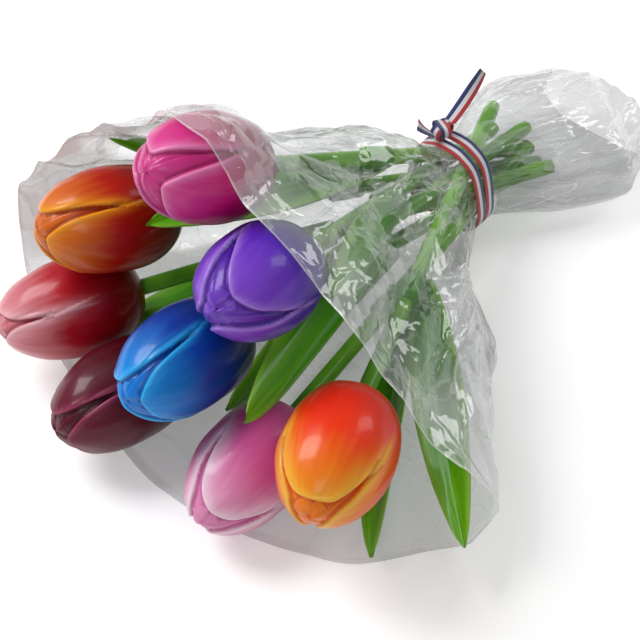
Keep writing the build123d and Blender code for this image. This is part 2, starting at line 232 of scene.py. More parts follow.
# turn of the petals, height of the notch between them, how far they part above it, how blunt their tips are,
# width of their pale rim, leaf (foot from the crossing, turn about the stem, lean, length, roll)
TULIPS = {
    "magenta": dict(turn=18, notch=0.46, parting=22, blunt=9, rim=2.8, leaf=(38, 155, 14.5, 94, 0)),
    "flame": dict(turn=27, notch=0.52, parting=13, blunt=10, rim=3.0, leaf=(37, 62, 13.5, 94, 0)),
    "red": dict(turn=18, notch=0.66, parting=10, blunt=10, rim=3.4, leaf=(58, 184, 8, 96, 0)),
    "maroon": dict(turn=29, notch=0.52, parting=12, blunt=10, rim=1.8, leaf=(38, -99, 11, 93, 30)),
    "blue": dict(turn=45, notch=0.50, parting=12, blunt=10, rim=2.4, leaf=(48.5, -98, 13.2, 104, 47)),
    "purple": dict(turn=-34, notch=0.50, parting=20, blunt=12, rim=2.2, leaf=(40, -95, 9, 84, 30)),
    "pink": dict(turn=-30, notch=0.54, parting=13, blunt=12, rim=5.0, leaf=(56, -103, 23.8, 99, -35)),
    "orange": dict(turn=-2, notch=0.58, parting=9, blunt=18, rim=5.5, leaf=(66, -116, 25.5, 95, -32)),
}

# lacquer shades from the foot of the petal to its tip, its rim, and the inner petals
PAINT = {
    "magenta": dict(foot="96064e", body="c80c6c", tip="da4494", rim="ea8cbe", inner="bc2474"),
    "flame": dict(foot="700200", body="b01400", tip="e27a06", rim="f0a010", inner="bc4402"),
    "red": dict(foot="7c0008", body="b00a20", tip="e296a0", rim="e8b4bc", inner="c0505e"),
    "maroon": dict(foot="2a0008", body="4e0016", tip="680828", rim="a03c62", inner="440014"),
    "blue": dict(foot="000a40", body="003c9e", tip="0090e8", rim="2cb4f4", inner="0058bc"),
    "purple": dict(foot="240670", body="5620b2", tip="8248cc", rim="a880de", inner="48189a"),
    "pink": dict(foot="c44a8c", body="d05a9c", tip="e69cc0", rim="f2dae6", inner="d06ca4"),
    "orange": dict(foot="dc1a00", body="ec3400", tip="ee9012", rim="f2b838", inner="e45804"),
}
# painted shade for the carved creases of the buds
PAINTED_CREASE_SHADE = (0.01, 0.005, 0.005, 1.0)
# greens of the leaves and stems, and the stripes across the ribbon
LEAF_PAINT = [(0.12, "266804"), (0.42, "4a9e0a"), (0.75, "78c41a")]
LEAF_RIM = "8cc044"
STEM_PAINT = [(0.30, "4a9016"), (0.55, "78bc32"), (0.78, "9cd654")]
RIBBON_STRIPES = [(0.0, "b01828"), (0.33, "dcd8dc"), (0.66, "182868")]


def srgb(code):
    """The linear colour of a six-figure shade."""
    channels = [int(code[i:i + 2], 16) / 255 for i in (0, 2, 4)]
    return tuple(c / 12.92 if c <= 0.04045 else ((c + 0.055) / 1.055) ** 2.4 for c in channels) + (1.0,)


def grey(level):
    return (level, level, level, 1.0)


class Value:
    """A shader socket that takes part in Python expressions."""

    def __init__(self, tree, socket):
        self.tree = tree
        self.socket = socket

    def math(self, operation, other, swapped=False):
        node = self.tree.nodes.new("ShaderNodeMath")
        node.operation = operation
        pair = (other, self) if swapped else (self, other)
        for slot, item in zip(node.inputs, pair):
            if isinstance(item, Value):
                self.tree.links.new(item.socket, slot)
            else:
                slot.default_value = item
        return Value(self.tree, node.outputs[0])

    def __add__(self, other):
        return self.math("ADD", other)

    __radd__ = __add__

    def __sub__(self, other):
        return self.math("SUBTRACT", other)

    def __rsub__(self, other):
        return self.math("SUBTRACT", other, True)

    def __mul__(self, other):
        return self.math("MULTIPLY", other)

    __rmul__ = __mul__

    def __pow__(self, other):
        return self.math("POWER", other)


class Finish:
    """A material whose nodes are added one call at a time."""

    def __init__(self, name):
        self.material = bpy.data.materials.new(name)
        self.material.use_nodes = True
        self.tree = self.material.node_tree
        self.tree.nodes.clear()

    def node(self, kind, settings=None, inputs=None, output=0):
        """Adds a node: its settings first, such as a ramp's stops and steps, then its sockets."""
        node = self.tree.nodes.new(kind)
        for key, value in (settings or {}).items():
            if key == "steps":
                node.color_ramp.interpolation = value
            elif key == "stops":
                ramp = node.color_ramp.elements
                while len(ramp) < len(value):
                    ramp.new(0.5)
                for element, (place, code) in zip(ramp, value):
                    element.position = place
                    element.color = srgb(code)
            else:
                setattr(node, key, value)
        for key, value in (inputs or {}).items():
            slot = node.inputs[key]
            if isinstance(value, Value):
                self.tree.links.new(value.socket, slot)
            else:
                slot.default_value = value
        return Value(self.tree, node.outputs[output])

    def attribute(self, name):
        return self.node("ShaderNodeAttribute", {"attribute_name": name}, output="Fac")

    def ramp(self, fac, stops, steps="LINEAR"):
        return self.node("ShaderNodeValToRGB", {"stops": stops, "steps": steps}, {"Fac": fac})

    def between(self, value, low, high):
        return self.node(
            "ShaderNodeMapRange", {"interpolation_type": "SMOOTHSTEP"},
            {"Value": value, "From Min": low, "From Max": high},
        )

    def blend(self, fac, first, second):
        return self.node(
            "ShaderNodeMix", {"data_type": "RGBA"}, {6: first, 7: second, 0: fac}, output=2,
        )

    def noise(self, place, scale, flat=True, output=0):
        return self.node(
            "ShaderNodeTexNoise", {"noise_dimensions": "2D" if flat else "3D"},
            {"Vector": place, "Scale": scale, "Detail": 2.0}, output,
        )

    def cells(self, place, scale, feature="F1", output="Color"):
        return self.node(
            "ShaderNodeTexVoronoi", {"voronoi_dimensions": "2D", "feature": feature},
            {"Vector": place, "Scale": scale}, output,
        )

    def grain(self, scale):
        return self.noise(self.node("ShaderNodeTexCoord", output="Object"), scale, False)

    def mix(self, fac, first, second):
        return self.node("ShaderNodeMixShader", None, {0: fac, 1: first, 2: second})

    def clear(self, colour):
        return self.node("ShaderNodeBsdfTransparent", None, {"Color": (*colour, 1.0)})

    def close(self, shader):
        end = self.tree.nodes.new("ShaderNodeOutputMaterial")
        self.tree.links.new(shader.socket, end.inputs["Surface"])
        return self.material


def streaks(f, along, across):
    """Fine brush marks that run up the piece: x is around it, y along it."""
    uv = f.node("ShaderNodeTexCoord", output="UV")
    place = f.node("ShaderNodeMapping", None, {"Vector": uv, "Scale": (across, along, 1.0)})
    return f.node(
        "ShaderNodeTexNoise", {"noise_dimensions": "2D"},
        {"Vector": place, "Scale": 1.0, "Detail": 3.0, "Roughness": 0.6},
    )


def lacquer(f, colour, bump_height, roughness=0.40):
    """Gloss lacquer over a brushed coat."""
    bump = f.node("ShaderNodeBump", None, {"Height": bump_height, "Strength": 0.35, "Distance": 0.0004})
    return f.close(f.node(
        "ShaderNodeBsdfPrincipled", None,
        {"Base Color": colour, "Roughness": roughness, "Specular IOR Level": 0.22, "Coat Weight": 0.35,
         "Coat Roughness": 0.12, "Coat IOR": 1.40, "Normal": bump},
    ))


def petal_lacquer(name, paint):
    """A shade that changes up the petal, with a pale rim and painted shade that darkens the carved creases.
    """
    f = Finish(name + "_lacquer")
    rise = f.attribute("rise")
    rim = f.attribute("rim")
    inner = f.attribute("inner")
    crease = f.attribute("crease")
    brush = streaks(f, 3.0, 42.0)
    soft = rise + (brush - 0.5) * 0.16
    outer = f.ramp(soft, [(0.20, paint["foot"]), (0.58, paint["body"]), (1.0, paint["tip"])])
    edge = f.between(rim + (brush - 0.5) * 0.25, 0.12, 1.0)
    outer = f.blend(edge * 0.9, outer, srgb(paint["rim"]))
    heart = f.blend(f.between(rise, 0.75, 1.0) * 0.5, srgb(paint["inner"]), srgb(paint["tip"]))
    colour = f.blend(inner, outer, heart)
    # painted shade darkens the carved creases
    colour = f.blend(crease * 0.55, colour, f.blend(0.4, srgb(paint["foot"]), PAINTED_CREASE_SHADE))
    return lacquer(f, colour, brush * 0.5 + f.grain(260.0) * 0.6)


def leaf_lacquer():
    """Streaked green, paler at the rim."""
    f = Finish("leaf_lacquer")
    rise = f.attribute("rise")
    rim = f.attribute("rim")
    brush = streaks(f, 4.0, 26.0)
    body = f.ramp(brush * 0.55 + rise * 0.35, LEAF_PAINT)
    colour = f.blend(f.between(rim, 0.55, 1.0) * 0.75, body, srgb(LEAF_RIM))
    return lacquer(f, colour, brush * 0.8 + f.grain(220.0) * 0.4, 0.32)


def stem_lacquer():
    """Mottled light green."""
    f = Finish("stem_lacquer")
    place = f.node("ShaderNodeTexCoord", output="Object")
    mottle = f.node("ShaderNodeTexNoise", None, {"Vector": place, "Scale": 55.0, "Detail": 4.0})
    return lacquer(f, f.ramp(mottle, STEM_PAINT), mottle, 0.32)


def clear_film():
    """Thin clear film with crumpled facets that catch the light, painted shade that greys it over the table,
    and painted reflections: white panes, glints along its creases and a bright free edge.
    """
    f = Finish("clear_film")
    crease = f.attribute("crease")
    edge = f.attribute("edge")
    under = f.attribute("under")
    tint = f.attribute("tint")
    uv = f.node("ShaderNodeTexCoord", output="UV")
    place = f.node("ShaderNodeMapping", None, {"Vector": uv, "Scale": FILM_PANES})
    drift = f.noise(place, 0.9, output="Color")
    place = f.node(
        "ShaderNodeVectorMath", {"operation": "MULTIPLY_ADD"}, {0: drift, 1: (1.3, 1.3, 0.0), 2: place},
    )
    painted_reflection_pane = f.node("ShaderNodeSeparateColor", None, {"Color": f.cells(place, 1.0)})
    broad = f.node("ShaderNodeSeparateColor", None, {"Color": f.cells(place, 0.34)}, output="Green")
    border = f.cells(place, 1.0, "DISTANCE_TO_EDGE", "Distance")
    relief = f.between(border, 0.0, 0.25) * 0.7 + f.noise(place, 1.6)
    bump = f.node("ShaderNodeBump", None, {"Height": relief, "Strength": 0.35, "Distance": 0.0010})

    # painted shade: the film turns grey where little wood lies behind it, and a paler grey where it lies flat
    # on the table
    sheet = f.mix(tint, f.clear(FILM_CLEAR), f.clear(FILM_PAINTED_SHADE_GREY))
    sheet = f.mix(under, sheet, f.clear(FILM_FLOOR_PAINTED_SHADE_GREY))
    # painted glints: thin white lines along the pane borders, also faintly where the film lies on the table
    lines = 1 - f.between(border, 0.0, 0.045)
    run = f.node("ShaderNodeSeparateXYZ", None, {"Vector": uv}, output="Y")
    # painted reflection: a white veil towards the mouth, stronger in broad panes
    painted_mouth_reflection = (f.between(broad, 0.45, 0.50) * 0.18 + 0.14) * f.between(run, 0.55, 0.80)
    # painted reflection in some panes and painted glints along the pane borders, less where wood lies close
    # behind
    painted_reflection_veil = (f.between(painted_reflection_pane, 0.58, 0.64) * 0.22 + lines * 0.15) * (tint * 0.4 + 0.6) + painted_mouth_reflection
    painted_reflection_veil = painted_reflection_veil * (1 - under) + lines * under * 0.12
    # painted glints along the creases and the free edge, over a faint haze of the film's own
    painted_reflection_veil = painted_reflection_veil + f.between(crease, 0.2, 0.9) * 0.22 + edge * 0.30 + 0.015
    # the white of the painted reflections and glints
    painted_reflection_haze = f.node("ShaderNodeBsdfDiffuse", None, {"Color": FILM_PAINTED_REFLECTION_WHITE, "Normal": bump})
    sheet = f.mix(painted_reflection_veil, sheet, painted_reflection_haze)
    gloss = f.node("ShaderNodeBsdfGlossy", None, {"Color": grey(1.0), "Roughness": 0.07, "Normal": bump})
    slant = f.node("ShaderNodeLayerWeight", None, {"Blend": 0.5, "Normal": bump}, output="Facing")
    return f.close(f.mix((slant ** 5.0) * 0.8 + 0.07, sheet, gloss))


def striped_ribbon():
    """Woven ribbon with a red, a white and a blue stripe along it."""
    f = Finish("striped_ribbon")
    uv = f.node("ShaderNodeTexCoord", output="UV")
    across = f.node("ShaderNodeSeparateXYZ", None, {"Vector": uv}, output="Y")
    stripe = f.ramp(across, RIBBON_STRIPES, "CONSTANT")
    weave = f.node(
        "ShaderNodeTexWave", {"wave_type": "BANDS", "bands_direction": "X"},
        {"Vector": uv, "Scale": 60.0, "Distortion": 0.5},
    )
    bump = f.node("ShaderNodeBump", None, {"Height": weave, "Strength": 0.4, "Distance": 0.0002})
    return f.close(f.node(
        "ShaderNodeBsdfPrincipled", None,
        {"Base Color": stripe, "Roughness": 0.55, "Sheen Weight": 0.3, "Normal": bump},
    ))


def smoothstep(low, high, value):
    """Eases from 0 at low to 1 at high."""
    t = np.clip((value - low) / (high - low), 0.0, 1.0)
    return t * t * (3 - 2 * t)


def through(points, count):
    """A smooth curve through the points."""
    p = np.asarray(points, float)
    p = np.concatenate([2 * p[:1] - p[1:2], p, 2 * p[-1:] - p[-2:-1]])
    spans = len(p) - 3
    s = np.linspace(0, spans, count)
    i = np.minimum(s.astype(int), spans - 1)
    t = (s - i)[:, None]
    a, b, c, d = p[i], p[i + 1], p[i + 2], p[i + 3]
    square, cube = 2 * a - 5 * b + 4 * c - d, 3 * b - a - 3 * c + d
    return 0.5 * (2 * b + (c - a) * t + square * t ** 2 + cube * t ** 3)


def run_along(points):
    """The distance along a line of points."""
    return np.concatenate([[0], np.cumsum(np.linalg.norm(np.diff(points, axis=0), axis=1))])


def points_at(line, distance):
    """The points at the given distances along a flat line of points."""
    run = run_along(line)
    return np.stack([np.interp(distance, run, line[:, c]) for c in (0, 1)], -1)


def evened(grid):
    """A grid of values eased a little round its columns and along its rows."""
    grid = (np.roll(grid, 1, 1) + 2 * grid + np.roll(grid, -1, 1)) / 4
    grid[1:-1] = (grid[2:] + 2 * grid[1:-1] + grid[:-2]) / 4
    return grid


def grid_piece(name, points, material, ends=False, uv=None, values=None):
    """A mesh over rows and columns of points, closed round the columns. End rows may be capped."""
    rows, cols = points.shape[:2]
    verts = points.reshape(-1, 3)
    index = np.arange(rows * cols).reshape(rows, cols)
    beside = np.roll(index, -1, axis=1)
    quads = np.stack([index[:-1], beside[:-1], beside[1:], index[1:]], -1).reshape(-1, 4)
    faces = quads.tolist()
    caps = []
    if ends:
        for row, flip in ((0, True), (rows - 1, False)):
            centre = len(verts)
            verts = np.concatenate([verts, points[row].mean(0)[None]])
            for a, b in zip(index[row], np.roll(index[row], -1)):
                caps.append((b, a, centre) if flip else (a, b, centre))
    mesh = bpy.data.meshes.new(name)
    mesh.from_pydata(verts.tolist(), [], faces + caps)
    for key, value in (values or {}).items():
        flat = np.asarray(value, float).reshape(-1)
        if len(flat) < len(verts):
            flat = np.concatenate([flat, [value[0].mean(), value[-1].mean()]])
        layer = mesh.attributes.new(key, "FLOAT", "POINT")
        layer.data.foreach_set("value", flat.astype(np.float32))
    if uv is not None:
        layer = mesh.uv_layers.new(name="UVMap")
        u, v = uv
        step = u[1] - u[0]
        corner = np.empty(len(mesh.loops), int)
        mesh.loops.foreach_get("vertex_index", corner)
        spare = len(verts) - rows * cols
        flat_u = np.append(np.tile(u, rows), [0.0] * spare)[corner]
        flat_v = np.append(np.repeat(v, cols), [v[0], v[-1]][:spare])[corner]
        seam = np.zeros(len(corner), bool)
        sides = quads.size
        seam[:sides] = np.tile([False, True, True, False], len(quads)) & (flat_u[:sides] < u[0] + step / 2)
        flat_u = np.where(seam, u[-1] + step, flat_u)
        layer.data.foreach_set("uv", np.stack([flat_u, flat_v], -1).ravel().astype(np.float32))
    mesh.polygons.foreach_set("use_smooth", [True] * len(mesh.polygons))
    mesh.materials.append(material)
    mesh.update()
    obj = bpy.data.objects.new(name, mesh)
    bpy.context.scene.collection.objects.link(obj)
    return obj


def joined(piece, *others):
    """The first piece with the others joined to it."""
    for obj in bpy.context.selected_objects:
        obj.select_set(False)
    for obj in (piece, *others):
        obj.select_set(True)
    bpy.context.view_layer.objects.active = piece
    bpy.ops.object.join()
    piece.select_set(False)
    return piece


def node_points(name):
    """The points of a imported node's mesh."""
    mesh = frame["nodes"][name].data
    flat = np.empty(len(mesh.vertices) * 3)
    mesh.vertices.foreach_get("co", flat)
    return flat.reshape(-1, 3)


class Tulip:
    """The place of one tulip: its stem line, and an up and a side direction square to it."""

    def __init__(self, name):
        self.name = name
        joint = next(j for j in frame["joints"] if j["name"] == "draw_out_" + name)
        self.axis = np.array(joint["axis"], float)
        self.axis /= np.linalg.norm(self.axis)
        up = np.array([0.0, 0.0, 1.0]) - self.axis * self.axis[2]
        self.up = up / np.linalg.norm(up)
        self.side = np.cross(self.axis, self.up)
        stem = node_points("stem_" + name)
        a, b, c = stem @ self.axis, stem @ self.up, stem @ self.side
        spot = self.up * (b.min() + b.max()) / 2 + self.side * (c.min() + c.max()) / 2
        self.origin = spot + self.axis * ((CROSSING[0] - spot[0]) / self.axis[0])
        base = self.origin @ self.axis
        self.stem_ends = a.min() - base, a.max() - base
        self.stem_radius = (b.max() - b.min()) / 2
        bud = node_points("bud_" + name)
        along = bud @ self.axis - base
        self.bud_ends = along.min(), along.max()
        away = bud - self.origin
        self.bud_radius = np.linalg.norm(away - (away @ self.axis)[:, None] * self.axis, axis=1).max()

    def place(self, x, y, z):
        """Points given as up, side and distance along the stem from the tie."""
        return self.origin + x[..., None] * self.up + y[..., None] * self.side + z[..., None] * self.axis


def bezier(a, b, c, d, t):
    """Points on a curve from a to d that leaves towards b and arrives from c."""
    a, b, c, d = (np.array(p)[None] for p in (a, b, c, d))
    t = t[:, None]
    return a * (1 - t) ** 3 + 3 * b * t * (1 - t) ** 2 + 3 * c * t ** 2 * (1 - t) + d * t ** 3


def bud_profile(radius, length):
    """Half the outline of a bud, from its foot to its tip: radius and height."""
    widest = BUD_WIDEST * length
    above = length - widest
    low_rows, high_rows = BUD_ROWS
    low = bezier(
        (BUD_FOOT, 0), (BUD_FOOT + 0.62 * (radius - BUD_FOOT), 0.02 * length),
        (radius, 0.42 * widest), (radius, widest), np.linspace(0, 1, low_rows, endpoint=False),
    )
    high = bezier(
        (radius, widest), (radius, widest + 0.58 * above),
        (0.52 * radius, 0.975 * length), (0, length), np.linspace(0, 0.992, high_rows),
    )
    return np.concatenate([low, high])


def carved_bud(tulip, made, seed):
    """Three outer petals raised over an inner body, overlapping round the bud, with creased inner petals."""
    rng = np.random.default_rng(seed)
    length = tulip.bud_ends[1] - tulip.bud_ends[0]
    radius = tulip.bud_radius
    columns = BUD_COLUMNS
    profile = bud_profile(radius, length)
    run = run_along(profile)[:, None]
    r, z = profile[:, :1], profile[:, 1:]
    slope = np.gradient(profile, axis=0)
    slope /= np.linalg.norm(slope, axis=1)[:, None]
    nr, nz = slope[:, 1:], -slope[:, :1]
    angle = np.linspace(0, 2 * math.pi, columns, endpoint=False)[None]
    notch = made["notch"] * length
    shape = (len(profile), columns)
    cover = np.zeros(shape)
    groove = np.zeros(shape)
    rim = np.zeros(shape)
    painted_crease_shade = np.zeros(shape)
    for k in range(3):
        off = angle - math.radians(made["turn"] + 120 * k)
        off = (off + math.pi) % (2 * math.pi) - math.pi
        off = off + 0.03 * np.sin(z / length * 8 + rng.uniform(0, 6))
        tip = PETAL_TIP * length * rng.uniform(0.985, 1.005)
        t = np.clip((z - notch) / (tip - notch), 0, 1)
        half = PETAL_HALF_ANGLE + 10 * np.clip(1 - z / notch, 0, 1) - made["parting"] * t ** 1.3
        half = np.radians(half) * np.sqrt(1 - t ** made["blunt"])
        turn_in = np.gradient(half[:, 0], run[:, 0])[:, None]
        d = r * (half - np.abs(off)) / np.sqrt(1 + (r * turn_in) ** 2)
        tip_run = np.interp(tip, profile[:, 1], run[:, 0])
        d = np.where(z >= tip, -np.hypot(r * off, run - tip_run), d)
        over = z < notch
        inside = smoothstep(-PETAL_SOFT, PETAL_SOFT, d)
        cover = np.maximum(cover, inside)
        fade = smoothstep(0.30 * length, 0.55 * length, z)
        lip = PETAL_LIP * np.exp(-((d - 1.0 * MM) / (0.9 * MM)) ** 2) * (d > 0)
        foot = np.exp(-((d + 0.6 * MM) / (0.6 * MM)) ** 2) * ~over
        seam = np.exp(-(d / (0.55 * MM)) ** 2) * (off > 0) * over
        seam = seam * smoothstep(notch - 0.22 * length, notch, z)
        bare = 1 - inside
        swell = np.cos(np.clip((np.abs(off) - 1.05) * 2.2, -1.5, 1.5))
        swell = swell * smoothstep(notch, 0.9 * length, z) * bare
        fold = np.exp(-((r * off) / (0.7 * MM)) ** 2) * smoothstep(0.91 * length, 0.97 * length, z) * bare
        tuck = np.exp(-((r * (off - 1.22)) / (0.6 * MM)) ** 2) * smoothstep(notch, 0.8 * length, z) * bare
        groove += SEAM_CUT * seam + FOOT_CUT * foot + FOLD_CUT * fold + TUCK_CUT * tuck
        groove -= INNER_SWELL * swell + lip * fade
        # painted shade: dark along the seams where petals overlap and the feet of their edges, fainter in the
        # folds and tucks
        painted_crease_shade = np.maximum(painted_crease_shade, np.maximum(seam * 0.6, foot * 0.9))
        painted_crease_shade = np.maximum(painted_crease_shade, fold * 0.25 + tuck * 0.25)
        rim = np.maximum(rim, np.where(d > 0, np.exp(-d / (made["rim"] * MM)), 0))
    far = smoothstep(0.90 * length, 1.0 * length, z)
    depth = (1 - cover) * PETAL_STEP * (1 - 0.6 * far) + groove * (1 - 0.4 * far)
    lobes = BUD_LOBES * np.cos(3 * (angle - math.radians(made["turn"])))
    lobes = lobes * smoothstep(0.2 * length, 0.6 * length, z)
    wave = sum(
        BUD_WAVE * np.sin(m * angle + n * z / length * 6 + rng.uniform(0, 6))
        for m, n in ((1, 1.0), (2, 2.0), (3, 1.5), (5, 3.0))
    )
    depth = depth + BUD_LOBES - lobes * (1 - far) + wave * smoothstep(0.0, 0.1 * length, z)
    rr = np.maximum(r - depth * nr, 0.05 * MM)
    zz = z - depth * nz + tulip.bud_ends[0]
    points = tulip.place(rr * np.cos(angle), rr * np.sin(angle), zz)
    values = {
        "rise": np.broadcast_to(z / length, shape),
        "rim": rim * smoothstep(0.20 * length, 0.60 * length, z),
        "inner": 1 - cover,
        "crease": np.clip(painted_crease_shade, 0, 1) * smoothstep(0.25 * length, 0.45 * length, z),
    }
    uv = np.arange(columns) / columns, profile[:, 1] / length
    finish = petal_lacquer(tulip.name, PAINT[tulip.name])
    return grid_piece("carved_bud_" + tulip.name, points, finish, ends=True, uv=uv, values=values)


def stem_tree():
    """A rod from the cut end to the bud, with the edge at its cut end eased."""
    tree = bpy.data.node_groups.new("stem_rod", "GeometryNodeTree")
    face = tree.interface
    face.new_socket("Geometry", in_out="OUTPUT", socket_type="NodeSocketGeometry")
    kinds = {"Cut end": "Vector", "Bud end": "Vector", "Radius": "Float", "Finish": "Material"}
    ids = {}
    for label, kind in kinds.items():
        ids[label] = face.new_socket(label, in_out="INPUT", socket_type="NodeSocket" + kind).identifier

    def add(kind, settings=None, **links):
        node = tree.nodes.new(kind)
        for key, value in (settings or {}).items():
            setattr(node, key, value)
        for key, value in links.items():
            slot = node.inputs[key.replace("_", " ")]
            if isinstance(value, bpy.types.NodeSocket):
                tree.links.new(value, slot)
            else:
                slot.default_value = value
        return node

    given = tree.nodes.new("NodeGroupInput").outputs
    line = add("GeometryNodeCurvePrimitiveLine", None, Start=given["Cut end"], End=given["Bud end"])
    rod = add("GeometryNodeResampleCurve", None, Curve=line.outputs[0], Count=STEM_RINGS)
    along = add("GeometryNodeSplineParameter")
    ease = add(
        "ShaderNodeMapRange", {"interpolation_type": "SMOOTHSTEP"},
        Value=along.outputs["Length"], From_Max=STEM_EASE, To_Min=STEM_EASE_SHARE,
    )
    shaped = add("GeometryNodeSetCurveRadius", None, Curve=rod.outputs[0], Radius=ease.outputs[0])
    ring = add("GeometryNodeCurvePrimitiveCircle", None, Resolution=STEM_SIDES, Radius=given["Radius"])
    size = add("GeometryNodeInputRadius")
    solid = add(
        "GeometryNodeCurveToMesh", None,
        Curve=shaped.outputs[0], Profile_Curve=ring.outputs[0], Scale=size.outputs[0], Fill_Caps=True,
    )
    smooth = add("GeometryNodeSetShadeSmooth", None, Geometry=solid.outputs[0])
    real = add("GeometryNodeRealizeInstances", None, Geometry=smooth.outputs[0])
    painted = add("GeometryNodeSetMaterial", None, Geometry=real.outputs[0], Material=given["Finish"])
    out = tree.nodes.new("NodeGroupOutput")
    tree.links.new(painted.outputs[0], out.inputs[0])
    return tree, ids


def stem_rod(tulip, tree, ids, finish):
    """The stem of one tulip, made by the rod's node tree."""
    name = "stem_rod_" + tulip.name
    obj = bpy.data.objects.new(name, bpy.data.meshes.new(name))
    bpy.context.scene.collection.objects.link(obj)
    modifier = obj.modifiers.new("rod", "NODES")
    modifier.node_group = tree
    low, high = tulip.stem_ends
    modifier[ids["Cut end"]] = tuple(tulip.origin + tulip.axis * low)
    modifier[ids["Bud end"]] = tuple(tulip.origin + tulip.axis * high)
    modifier[ids["Radius"]] = tulip.stem_radius
    modifier[ids["Finish"]] = finish
    bpy.context.view_layer.update()
    shaped = bpy.data.meshes.new_from_object(obj.evaluated_get(bpy.context.evaluated_depsgraph_get()))
    shaped.name = name
    obj.modifiers.clear()
    obj.data = shaped
    return obj


def carved_leaf(tulip, foot, turn, lean, length, roll, finish, seed):
    """A cupped blade with a rounded edge and a channel down its middle, on a collar round the stem."""
    rng = np.random.default_rng(seed)
    outline = through(LEAF_OUTLINE, LEAF_OUTLINE_POINTS)
    s = np.concatenate([
        np.linspace(0, 1 - LEAF_TIP, LEAF_ROWS - LEAF_TIP_ROWS, endpoint=False),
        1 - LEAF_TIP * np.linspace(1, 0, LEAF_TIP_ROWS) ** 1.6,
    ])
    half = np.interp(s, outline[:, 0], outline[:, 1])[:, None] * LEAF_WIDTH / 2
    turn_round = np.linspace(2 * math.pi, 0, LEAF_COLUMNS, endpoint=False)[None]
    across = np.sign(np.cos(turn_round)) * np.abs(np.cos(turn_round)) ** 0.75
    layer = np.sign(np.sin(turn_round)) * np.abs(np.sin(turn_round)) ** 0.55
    y = across * half
    z = s[:, None] * length + 0 * y
    thick = LEAF_THICKNESS / 2 * (1 - 0.25 * np.abs(across) ** 3)
    thick = thick * (1 - 0.45 * smoothstep(0.7, 1.0, s)[:, None])
    channel = -LEAF_CHANNEL * np.exp(-(y / LEAF_CHANNEL_WIDTH) ** 2) * smoothstep(0.1, 0.3, s)[:, None]
    wave = LEAF_WAVE * np.sin(s[:, None] * 7 + rng.uniform(0, 6)) * (across ** 2)
    n = layer * thick + np.where(layer < 0, -channel, channel * 0.6) + wave
    bend = y / LEAF_CUP
    x = (LEAF_CUP + n) * np.cos(bend) - LEAF_CUP + z ** 2 / (2 * LEAF_BEND)
    y = (LEAF_CUP + n) * np.sin(bend)
    roll = math.radians(roll)
    x, y = x * math.cos(roll) - y * math.sin(roll), x * math.sin(roll) + y * math.cos(roll)
    lean = math.radians(lean)
    x, z = x * math.cos(lean) + z * math.sin(lean), z * math.cos(lean) - x * math.sin(lean)
    x = x + tulip.stem_radius + LEAF_OFFSET
    swing = math.radians(turn)
    px = x * math.cos(swing) - y * math.sin(swing)
    py = x * math.sin(swing) + y * math.cos(swing)
    blade = tulip.place(px, py, z + foot)
    values = {"rise": np.broadcast_to(s[:, None], px.shape), "rim": np.broadcast_to(np.abs(across), px.shape)}
    uv = np.arange(LEAF_COLUMNS) / LEAF_COLUMNS, s
    piece = grid_piece("carved_leaf_" + tulip.name, blade, finish, ends=True, uv=uv, values=values)
    return joined(piece, leaf_collar(tulip, foot, finish))


def leaf_collar(tulip, foot, finish):
    """The collar at the foot of a leaf, round the stem."""
    rise, wall = np.array(COLLAR_PROFILE).T
    outer = (tulip.stem_radius + LEAF_COLLAR_WALL * wall)[:, None]
    a = np.linspace(0, 2 * math.pi, COLLAR_COLUMNS, endpoint=False)[None]
    level = (rise * LEAF_COLLAR)[:, None] + foot + 0 * a
    ring = tulip.place(outer * np.cos(a), outer * np.sin(a), level)
    uv = np.arange(COLLAR_COLUMNS) / COLLAR_COLUMNS, rise
    values = {"rise": np.full(level.shape, 0.3), "rim": np.full(level.shape, 0.2)}
    return grid_piece("leaf_collar_" + tulip.name, ring, finish, ends=True, uv=uv, values=values)


def round_points(low, high, under, crest):
    """Points round a section of the tail or the waist, from foot to foot over its crest."""
    mid, half = (low + high) / 2, (high - low) / 2
    return [(mid + a * half, under + b * (crest - under)) for a, b in FILM_ROUND]


def section(points, count, grow):
    """The closed outline of the film across the bundle: along the underside, then over the crest and back."""
    over = through(points[::-1], FILM_OVER_POINTS)
    floor = np.linspace(points[0][0], points[-1][0], FILM_UNDER_POINTS, endpoint=False)
    under = np.stack([floor, np.full(FILM_UNDER_POINTS, points[0][1])], -1)
    loop = np.concatenate([under, over])
    loop = points_at(loop, np.linspace(0, run_along(loop)[-1], count, endpoint=False))
    step = np.roll(loop, -1, 0) - np.roll(loop, 1, 0)
    step /= np.linalg.norm(step, axis=1)[:, None] + 1e-9
    return loop + grow * np.stack([step[:, 1], -step[:, 0]], -1)


def zigzag(t):
    """Straight folds between -1 and 1."""
    return 4 * np.abs(t - np.floor(t + 0.5)) - 1


def pleated(points, height, number):
    """Corners round a section: valleys on its outline, crests lifted off it, all wandering a little."""
    curve = through(points, FILM_PLEAT_POINTS)
    last = 2 * FILM_PLEATS
    k = np.arange(last + 1)
    wander = FILM_PLEAT_WANDER * np.sin(2.4 * k + 1.3 * number) * (height > 0)
    wander[[0, -1]] = 0
    far = run_along(curve)[-1] * (k + wander) / last
    spot = points_at(curve, far)
    step = points_at(curve, far + 0.5) - points_at(curve, far - 0.5)
    step /= np.linalg.norm(step, axis=1)[:, None]
    lift = height * (0.65 + 0.35 * np.sin(1.7 * k + 0.5 * number)) * (k % 2)
    corners = spot + lift[:, None] * np.stack([-step[:, 1], step[:, 0]], -1)
    corners[:, 1] = np.maximum(corners[:, 1], points[0][1])
    return corners


